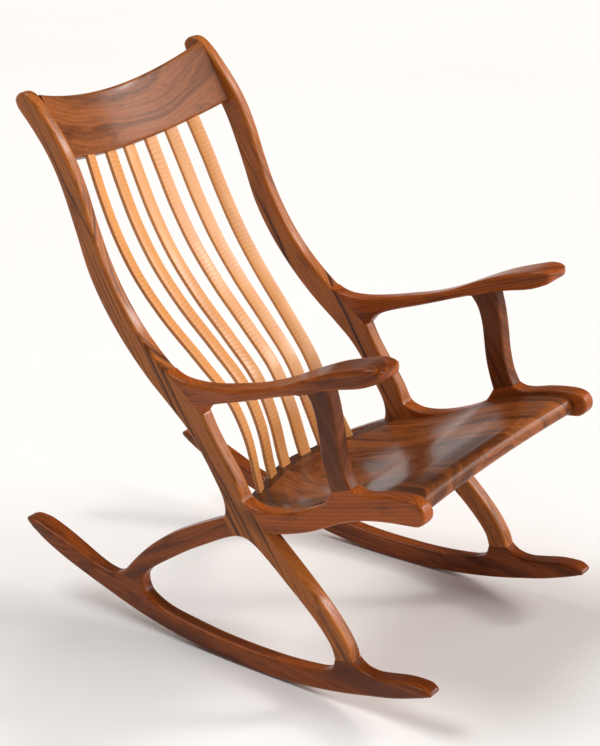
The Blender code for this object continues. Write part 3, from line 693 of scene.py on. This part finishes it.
def new_group(name, inputs, outputs):
    tree = bpy.data.node_groups.new(name, "ShaderNodeTree")
    for label, kind, value in inputs:
        socket = tree.interface.new_socket(label, in_out="INPUT", socket_type=kind)
        if value is not None:
            socket.default_value = value
    for label, kind in outputs:
        tree.interface.new_socket(label, in_out="OUTPUT", socket_type=kind)
    return tree, tree.nodes.new("NodeGroupInput"), tree.nodes.new("NodeGroupOutput")


def timber_figure_group():
    """Growth rings, broad dark streaks, pores and fibres of a board; X lies along the grain."""
    tree, given, result = new_group(
        "timber_figure",
        [("Place", "NodeSocketVector", None), ("Ring Width", "NodeSocketFloat", 0.006),
         ("Wander", "NodeSocketFloat", 0.012), ("Streak Width", "NodeSocketFloat", 0.03),
         ("Streaks From", "NodeSocketFloat", 0.42)],
        [("Rings", "NodeSocketFloat"), ("Streaks", "NodeSocketFloat"),
         ("Pores", "NodeSocketFloat"), ("Fibre", "NodeSocketFloat")])
    place = given.outputs["Place"]
    slow = stretched(tree, place, (0.30, 1.0, 1.0))
    wander = maths(tree, "MULTIPLY",
                   maths(tree, "SUBTRACT", noise(tree, slow, 9.0, 2.5, 0.5), 0.5),
                   given.outputs["Wander"])
    across = stretched(tree, place, (0.0, 1.0, 1.0))
    radius = put(tree, "ShaderNodeVectorMath", {0: across}, operation="LENGTH").outputs["Value"]
    turns = maths(tree, "DIVIDE", maths(tree, "ADD", radius, wander), given.outputs["Ring Width"])
    part = maths(tree, "FRACT", turns)
    rise = maths(tree, "POWER", part, 2.2)
    fall = spread_range(tree, part, 0.88, 1.0, 1.0, 0.0)
    tree.links.new(maths(tree, "MULTIPLY", rise, fall), result.inputs["Rings"])
    streak_turns = maths(tree, "DIVIDE", maths(tree, "ADD", radius, maths(tree, "MULTIPLY", wander, 2.2)),
                         given.outputs["Streak Width"])
    length_way = put(tree, "ShaderNodeSeparateXYZ", {0: place}).outputs["X"]
    streak_place = put(tree, "ShaderNodeCombineXYZ",
                       {"X": streak_turns, "Y": maths(tree, "MULTIPLY", length_way, 1.1)})
    bands = noise(tree, streak_place.outputs[0], 1.0, 3.0, 0.6)
    above = maths(tree, "SUBTRACT", bands, given.outputs["Streaks From"])
    tree.links.new(spread_range(tree, above, 0.0, 0.22), result.inputs["Streaks"])
    pores = noise(tree, stretched(tree, place, (60.0, 900.0, 900.0)), 1.0, 1.0, 0.4)
    tree.links.new(spread_range(tree, pores, 0.60, 0.72), result.inputs["Pores"])
    tree.links.new(noise(tree, stretched(tree, place, (14.0, 330.0, 330.0)), 1.0, 2.0, 0.6),
                   result.inputs["Fibre"])
    return tree


def arris_wear_and_sheen_group():
    """Rounded edges made paler in patches: partly wear where hands and oil have polished them, partly a
    painted highlight along the arrises.
    """
    tree, given, result = new_group(
        "arris_wear_and_sheen", [("Place", "NodeSocketVector", None), ("Arris", "NodeSocketFloat", 0.0)],
        [("Wear And Sheen", "NodeSocketFloat"), ("Handled", "NodeSocketFloat")])
    patches = noise(tree, given.outputs["Place"], 14.0, 3.0, 0.6)
    wear_and_sheen_share = spread_range(tree, patches, 0.35, 0.65, 0.25, 1.0)
    # Mask of the paler arrises: partly real wear, partly a painted highlight.
    wear_and_sheen_mask = maths(tree, "MULTIPLY", given.outputs["Arris"], wear_and_sheen_share)
    tree.links.new(wear_and_sheen_mask, result.inputs["Wear And Sheen"])
    tree.links.new(noise(tree, given.outputs["Place"], 5.0, 2.0, 0.5), result.inputs["Handled"])
    return tree


TIMBER = timber_figure_group()
WEAR_AND_SHEEN = arris_wear_and_sheen_group()


def grain_place(tree, turn, shift):
    """Object coordinates turned so that X lies along the grain; shift moves the heart of the tree."""
    spot = put(tree, "ShaderNodeTexCoord").outputs["Object"]
    return spot, put(tree, "ShaderNodeMapping", {"Vector": spot, "Rotation": turn,
                                                 "Location": shift}).outputs["Vector"]


def grain_turn(degrees):
    """Turn that lays X along a grain rising backwards at an angle in the side-frame plane."""
    return (-math.radians(degrees), 0.0, -math.pi / 2)


def new_timber(name):
    skin = bpy.data.materials.new(name)
    skin.use_nodes = True
    tree = skin.node_tree
    return skin, tree, tree.nodes["Principled BSDF"]


def walnut(name, turn, shift, dark, mid, light, ring=0.006, wander=0.014, streak=0.020,
           ring_depth=0.45, streak_depth=0.6, streaks_from=0.42, gloss=0.33):
    """Oiled walnut: brown heartwood with darker bands, fine open pores, and arrises painted paler, partly as
    wear and partly as a painted highlight.
    """
    skin, tree, shader = new_timber(name)
    spot, place = grain_place(tree, turn, shift)
    figure = put(tree, "ShaderNodeGroup", node_tree=TIMBER)
    tree.links.new(place, figure.inputs["Place"])
    figure.inputs["Ring Width"].default_value = ring
    figure.inputs["Wander"].default_value = wander
    figure.inputs["Streak Width"].default_value = streak
    figure.inputs["Streaks From"].default_value = streaks_from
    wear_and_sheen = put(tree, "ShaderNodeGroup", node_tree=WEAR_AND_SHEEN)
    tree.links.new(spot, wear_and_sheen.inputs["Place"])
    tree.links.new(put(tree, "ShaderNodeAttribute", attribute_name="arris").outputs["Fac"],
                   wear_and_sheen.inputs["Arris"])
    base = blend_colour(tree, maths(tree, "MULTIPLY", figure.outputs["Fibre"], 0.8), mid, light)
    base = blend_colour(tree, maths(tree, "MULTIPLY", figure.outputs["Streaks"], streak_depth),
                        base, dark)
    base = blend_colour(tree, maths(tree, "MULTIPLY", figure.outputs["Rings"], ring_depth), base,
                        dark)
    base = blend_colour(tree, maths(tree, "MULTIPLY", figure.outputs["Pores"], 0.35), base,
                        tuple(0.4 * c for c in dark))
    clouds = spread_range(tree, noise(tree, stretched(tree, place, (9.0, 30.0, 30.0)), 1.0, 4.0, 0.65),
                          0.50, 0.72)
    base = blend_colour(tree, maths(tree, "MULTIPLY", clouds, 0.55), base, dark)
    # Arrises lightened towards the light colour: partly real wear, partly a painted highlight.
    base = blend_colour(tree, maths(tree, "MULTIPLY", wear_and_sheen.outputs["Wear And Sheen"], 0.30), base, light)
    tree.links.new(base, shader.inputs["Base Color"])
    rough = maths(tree, "ADD", gloss - 0.06, maths(tree, "MULTIPLY", wear_and_sheen.outputs["Handled"], 0.10))
    rough = maths(tree, "ADD", rough, maths(tree, "MULTIPLY", figure.outputs["Pores"], 0.12))
    tree.links.new(rough, shader.inputs["Roughness"])
    height = maths(tree, "SUBTRACT", maths(tree, "MULTIPLY", figure.outputs["Fibre"], 0.3),
                   figure.outputs["Pores"])
    bump = put(tree, "ShaderNodeBump", {"Height": height, "Strength": 0.25, "Distance": 0.0004})
    tree.links.new(bump.outputs["Normal"], shader.inputs["Normal"])
    shader.inputs["Specular IOR Level"].default_value = 0.12
    shader.inputs["Coat Weight"].default_value = 0.15
    shader.inputs["Coat Roughness"].default_value = 0.15
    return skin


def curly_maple(name, seed):
    """Oiled maple slat: pale orange-tan with bars of curl across the bent strip."""
    skin, tree, shader = new_timber(name)
    spot = put(tree, "ShaderNodeTexCoord").outputs["Object"]
    along = put(tree, "ShaderNodeAttribute", attribute_name="along_slat").outputs["Fac"]
    apart = put(tree, "ShaderNodeSeparateXYZ", {0: spot})
    place = put(tree, "ShaderNodeCombineXYZ", {"X": along, "Y": apart.outputs["X"], "Z": seed}
                ).outputs[0]
    figure = put(tree, "ShaderNodeGroup", node_tree=TIMBER)
    tree.links.new(place, figure.inputs["Place"])
    figure.inputs["Ring Width"].default_value = 0.011
    figure.inputs["Wander"].default_value = 0.020
    figure.inputs["Streak Width"].default_value = 0.025
    warp = noise(tree, stretched(tree, place, (9.0, 30.0, 1.0)), 1.0, 2.0, 0.5)
    sway = maths(tree, "ADD", maths(tree, "MULTIPLY", along, 620.0), maths(tree, "MULTIPLY", warp, 16.0))
    bars = maths(tree, "MULTIPLY_ADD", maths(tree, "SINE", sway), 0.5, 0.5)
    patches = noise(tree, stretched(tree, place, (7.0, 20.0, 1.0)), 1.0, 1.0)
    strength = spread_range(tree, patches, 0.38, 0.62)
    curl = maths(tree, "MULTIPLY", bars, strength)
    base = blend_colour(tree, figure.outputs["Fibre"], (0.62, 0.25, 0.070), (0.78, 0.36, 0.115))
    base = blend_colour(tree, maths(tree, "MULTIPLY", figure.outputs["Rings"], 0.30), base,
                        (0.42, 0.17, 0.055))
    base = blend_colour(tree, maths(tree, "MULTIPLY", curl, 0.30), base, (0.42, 0.135, 0.03))
    wear_and_sheen = put(tree, "ShaderNodeGroup", node_tree=WEAR_AND_SHEEN)
    tree.links.new(spot, wear_and_sheen.inputs["Place"])
    tree.links.new(base, shader.inputs["Base Color"])
    rough = maths(tree, "ADD", 0.26, maths(tree, "MULTIPLY", wear_and_sheen.outputs["Handled"], 0.12))
    rough = maths(tree, "ADD", rough, maths(tree, "MULTIPLY", curl, 0.08))
    tree.links.new(rough, shader.inputs["Roughness"])
    height = maths(tree, "ADD", maths(tree, "MULTIPLY", figure.outputs["Fibre"], 0.3), curl)
    bump = put(tree, "ShaderNodeBump", {"Height": height, "Strength": 0.18, "Distance": 0.0006})
    tree.links.new(bump.outputs["Normal"], shader.inputs["Normal"])
    shader.inputs["Specular IOR Level"].default_value = 0.35
    shader.inputs["Coat Weight"].default_value = 0.08
    shader.inputs["Coat Roughness"].default_value = 0.20
    return skin


def birch(name):
    """Bare birch dowel stock."""
    skin, tree, shader = new_timber(name)
    spot = put(tree, "ShaderNodeTexCoord").outputs["Object"]
    figure = put(tree, "ShaderNodeGroup", node_tree=TIMBER)
    tree.links.new(spot, figure.inputs["Place"])
    figure.inputs["Ring Width"].default_value = 0.003
    base = blend_colour(tree, figure.outputs["Fibre"], (0.50, 0.34, 0.18), (0.66, 0.49, 0.29))
    base = blend_colour(tree, maths(tree, "MULTIPLY", figure.outputs["Rings"], 0.3), base,
                        (0.38, 0.23, 0.11))
    tree.links.new(base, shader.inputs["Base Color"])
    tree.links.new(spread_range(tree, figure.outputs["Fibre"], 0.2, 0.8, 0.5, 0.65),
                   shader.inputs["Roughness"])
    return skin


# ---- slats by geometry nodes -----------------------------------------------------------------
def slat_tree():
    """Sweep a rounded strip along a bent path that carries its own facing direction."""
    tree = bpy.data.node_groups.new("bent_slat", "GeometryNodeTree")
    face = tree.interface
    face.new_socket("Geometry", in_out="INPUT", socket_type="NodeSocketGeometry")
    sockets = {}
    for label, kind in (("Width", "NodeSocketFloat"), ("Thickness", "NodeSocketFloat"),
                        ("Arris", "NodeSocketFloat"), ("Finish", "NodeSocketMaterial")):
        sockets[label] = face.new_socket(label, in_out="INPUT", socket_type=kind).identifier
    face.new_socket("Geometry", in_out="OUTPUT", socket_type="NodeSocketGeometry")
    given = tree.nodes.new("NodeGroupInput")
    result = tree.nodes.new("NodeGroupOutput")
    path = put(tree, "GeometryNodeMeshToCurve", {"Mesh": given.outputs["Geometry"]}).outputs["Curve"]
    length = put(tree, "GeometryNodeSplineParameter").outputs["Length"]
    path = put(tree, "GeometryNodeStoreNamedAttribute",
               {"Geometry": path, "Name": "along_slat", "Value": length},
               data_type="FLOAT", domain="POINT").outputs["Geometry"]
    facing = put(tree, "GeometryNodeInputNamedAttribute", {"Name": "facing"},
                 data_type="FLOAT_VECTOR").outputs["Attribute"]
    path = put(tree, "GeometryNodeSetCurveNormal", {"Curve": path, "Normal": facing},
               mode="FREE").outputs["Curve"]
    strip = put(tree, "GeometryNodeCurvePrimitiveQuadrilateral",
                {"Width": given.outputs["Thickness"], "Height": given.outputs["Width"]}).outputs["Curve"]
    strip = put(tree, "GeometryNodeFilletCurve", {"Curve": strip, "Radius": given.outputs["Arris"],
                                                  "Count": 4}, mode="POLY").outputs["Curve"]
    swept = put(tree, "GeometryNodeCurveToMesh", {"Curve": path, "Profile Curve": strip,
                                                  "Fill Caps": True}).outputs["Mesh"]
    real = put(tree, "GeometryNodeRealizeInstances", {"Geometry": swept}).outputs["Geometry"]
    dressed = put(tree, "GeometryNodeSetMaterial", {"Geometry": real,
                                                    "Material": given.outputs["Finish"]}).outputs["Geometry"]
    tree.links.new(dressed, result.inputs["Geometry"])
    return tree, sockets


def back_slat(number, tree, sockets, skin):
    path = slat_path(number)
    mesh = bpy.data.meshes.new(f"slat_path_{number + 1}")
    mesh.from_pydata([p for p, _, _ in path], [(i, i + 1) for i in range(len(path) - 1)], [])
    facing = mesh.attributes.new("facing", "FLOAT_VECTOR", "POINT")
    for i, (_, through, _) in enumerate(path):
        facing.data[i].vector = through
    carrier = bpy.data.objects.new(mesh.name, mesh)
    bpy.context.scene.collection.objects.link(carrier)
    sweep = carrier.modifiers.new("bent_slat", "NODES")
    sweep.node_group = tree
    sweep[sockets["Width"]] = 0.0285 if number == 0 else 0.0308
    sweep[sockets["Thickness"]] = SLAT_THICK
    sweep[sockets["Arris"]] = 0.0026
    sweep[sockets["Finish"]] = skin
    shown = carrier.evaluated_get(bpy.context.evaluated_depsgraph_get())
    solid = bpy.data.meshes.new_from_object(shown)
    bpy.data.objects.remove(carrier)
    work = bmesh.new()
    work.from_mesh(solid)
    bmesh.ops.recalc_face_normals(work, faces=work.faces)
    materials = list(solid.materials)
    bpy.data.meshes.remove(solid)
    name = f"back_slat_{number + 1}"
    return finish_piece(f"{name}_bent", work, materials[0], name, 50)


def turned_dowel(node, skin, sides=20, slim=0.8):
    """A hidden dowel with eased ends, on the axis of its CAD node."""
    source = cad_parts[node]
    spots = [source.matrix_world @ v.co for v in source.data.vertices]
    middle = sum(spots, Vector()) / len(spots)
    tip = max(spots, key=lambda p: (p - middle).length) - middle
    ends = []
    for hand in (-1, 1):
        half = [p for p in spots if hand * (p - middle).dot(tip) > 0]
        ends.append(sum(half, Vector()) / len(half))
    axis = (ends[1] - ends[0]).normalized()
    radius = slim * max((p - middle - axis * axis.dot(p - middle)).length for p in spots)
    reach = 0.55 * max(axis.dot(p - middle) for p in spots)
    across = axis.orthogonal().normalized()
    up = axis.cross(across)
    rings = []
    for place, share in ((-reach, 0.7), (0.0015 - reach, 1.0), (0.0, 1.0), (reach - 0.0015, 1.0),
                         (reach, 0.7)):
        rings.append([middle + axis * place + radius * share
                      * (across * math.cos(2 * math.pi * k / sides)
                         + up * math.sin(2 * math.pi * k / sides)) for k in range(sides)])
    return loft(f"{node}_turned", rings, skin, node)


# ---- make the chair --------------------------------------------------------------------------
DARK = (0.032, 0.006, 0.002)
RED_BROWN = (0.220, 0.040, 0.005)
ORANGE_BROWN = (0.420, 0.105, 0.016)

FINISH = {
    "rocker": walnut("walnut_rocker_oiled", grain_turn(4), (0.0, 0.09, 0.07), DARK, RED_BROWN,
                     ORANGE_BROWN),
    "back_post": walnut("walnut_post_oiled", grain_turn(60), (0.0, 0.04, 0.06), DARK,
                        (0.320, 0.078, 0.012), (0.600, 0.200, 0.044), ring=0.007, streak=0.012,
                        streak_depth=0.92, streaks_from=0.48),
    "rear_leg": walnut("walnut_rear_leg_oiled", grain_turn(-32), (0.0, 0.05, 0.09), DARK, RED_BROWN,
                       ORANGE_BROWN),
    "seat_rail": walnut("walnut_rail_oiled", grain_turn(-16), (0.0, 0.08, 0.10), DARK,
                        (0.340, 0.068, 0.008), (0.500, 0.125, 0.018), streak_depth=0.35),
    "arm_post": walnut("walnut_arm_post_oiled", grain_turn(62), (0.0, 0.06, 0.05), DARK,
                       (0.160, 0.036, 0.007), (0.300, 0.080, 0.016)),
    "arm": walnut("walnut_arm_oiled", grain_turn(-18), (0.0, 0.05, 0.12), DARK,
                  (0.290, 0.058, 0.007), (0.480, 0.115, 0.017)),
}
CREST_SKIN = walnut("walnut_crest_oiled", (0.12, 0.0, 0.03), (0.0, 0.10, -0.95), DARK,
                    (0.240, 0.066, 0.016), (0.400, 0.126, 0.032), ring=0.008, wander=0.055,
                    streak=0.030, ring_depth=0.30, streak_depth=0.50)


def side_frame(label, side):
    shaped_member(f"{label}_rocker_shaped", rocker_outline(), rocker_width, side,
                  FINISH["rocker"], f"{label}_rocker")
    shaped_member(f"{label}_back_post_shaped", post_outline(), post_width, side,
                  FINISH["back_post"], f"{label}_back_post", arris=0.0075)
    shaped_member(f"{label}_rear_leg_shaped", arch_outline(), member_width, side,
                  FINISH["rear_leg"], f"{label}_rear_leg")
    shaped_member(f"{label}_seat_rail_shaped", rail_outline(), member_width, side,
                  FINISH["seat_rail"], f"{label}_seat_rail")
    shaped_member(f"{label}_arm_post_shaped", arm_post_outline(), member_width, side,
                  FINISH["arm_post"], f"{label}_arm_post")
    shaped_member(f"{label}_arm_shaped", arm_outline(), arm_width, side, FINISH["arm"],
                  f"{label}_arm", arris=0.0085, shift_at=arm_shift, tilt_at=arm_tilt)


side_frame("right", -1)
side_frame("left", 1)
crest_rail(CREST_SKIN)
SEAT_SHIFTS = ((0.0, 0.02, 0.05), (0.3, 0.10, 0.06), (0.7, -0.03, 0.045), (1.1, -0.11, 0.06),
               (1.6, -0.20, 0.05))
for board, shift in enumerate(SEAT_SHIFTS):
    seat_board(board, walnut(f"walnut_seat_board_{board + 1}", grain_turn(-17), shift, DARK,
                             (0.230, 0.058, 0.013), (0.420, 0.130, 0.032), ring=0.007,
                             wander=0.030, streak=0.020, streak_depth=0.8, gloss=0.30))
slat_rail(walnut("walnut_slat_rail_oiled", (0.0, 0.0, 0.0), (0.0, 0.05, -0.3), DARK,
                 (0.100, 0.032, 0.012), (0.190, 0.066, 0.024), gloss=0.18))
SLAT_TREE, SLAT_SOCKETS = slat_tree()
for slat in range(SLAT_COUNT):
    back_slat(slat, SLAT_TREE, SLAT_SOCKETS, curly_maple(f"maple_slat_{slat + 1}", 0.35 + 0.21 * slat))
DOWEL_SKIN = birch("birch_dowel_bare")
for dowel in sorted(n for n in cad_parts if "dowel" in n):
    turned_dowel(dowel, DOWEL_SKIN)


# ---- floor, lights and camera ----------------------------------------------------------------
def studio_floor():
    mesh = bpy.data.meshes.new("studio_floor")
    reach = 30.0
    mesh.from_pydata([(-reach, -reach, 0), (reach, -reach, 0), (reach, reach, 0), (-reach, reach, 0)],
                     [], [(0, 1, 2, 3)])
    floor = bpy.data.objects.new("studio_floor", mesh)
    bpy.context.scene.collection.objects.link(floor)
    skin, tree, shader = new_timber("floor_paper_white")
    spot = put(tree, "ShaderNodeTexCoord").outputs["Object"]
    tone = blend_colour(tree, noise(tree, spot, 0.7, 1.0), (0.90, 0.885, 0.87), (0.93, 0.92, 0.91))
    tree.links.new(tone, shader.inputs["Base Color"])
    shader.inputs["Roughness"].default_value = 0.75
    shader.inputs["Specular IOR Level"].default_value = 0.2
    mesh.materials.append(skin)


def broad_light(name, source, strength, spread, tint=(1.0, 1.0, 1.0)):
    """A far, wide diffuser: even over the whole floor, with soft-edged shadows."""
    lamp = bpy.data.lights.new(name, "SUN")
    lamp.energy = strength
    lamp.angle = math.radians(spread)
    lamp.color = tint
    holder = bpy.data.objects.new(name, lamp)
    holder.location = source
    holder.rotation_euler = (-Vector(source)).to_track_quat("-Z", "Y").to_euler()
    bpy.context.scene.collection.objects.link(holder)


studio_floor()
broad_light("overhead", (-0.6, 1.3, 3.0), 1.6, 34.0)
broad_light("bounce_front", (1.8, -2.6, 1.5), 2.9, 46.0, (1.0, 0.96, 0.92))
broad_light("strip_front", (2.2, -1.9, 1.9), 0.7, 9.0, (1.0, 0.97, 0.94))

world = bpy.data.worlds.new("studio_air")
world.use_nodes = True
sky = world.node_tree.nodes["Background"]
sky.inputs["Color"].default_value = (1.0, 0.99, 0.98, 1.0)
seen = put(world.node_tree, "ShaderNodeLightPath").outputs["Is Camera Ray"]
world.node_tree.links.new(maths(world.node_tree, "MULTIPLY_ADD", seen, 0.80, 0.16),
                          sky.inputs["Strength"])
bpy.context.scene.world = world
bpy.context.scene.view_settings.view_transform = "Standard"

# The camera's heading is turned from +X towards +Y, its pitch from level, its roll about the view.
CAMERA_PLACE = (-2.619, -2.327, 1.999)
CAMERA_HEADING = 41.09
CAMERA_PITCH = -22.74
CAMERA_ROLL = -5.0
lens = bpy.data.cameras.new("viewpoint")
lens.sensor_fit = "VERTICAL"
lens.sensor_height = 36.0
lens.lens = 89.28
viewpoint = bpy.data.objects.new("viewpoint", lens)
heading = Matrix.Rotation(math.radians(CAMERA_HEADING - 90.0), 4, "Z")
pitch = Matrix.Rotation(math.radians(CAMERA_PITCH + 90.0), 4, "X")
roll = Matrix.Rotation(math.radians(CAMERA_ROLL), 4, "Z")
viewpoint.matrix_world = Matrix.Translation(CAMERA_PLACE) @ heading @ pitch @ roll
bpy.context.scene.collection.objects.link(viewpoint)
bpy.context.scene.camera = viewpoint
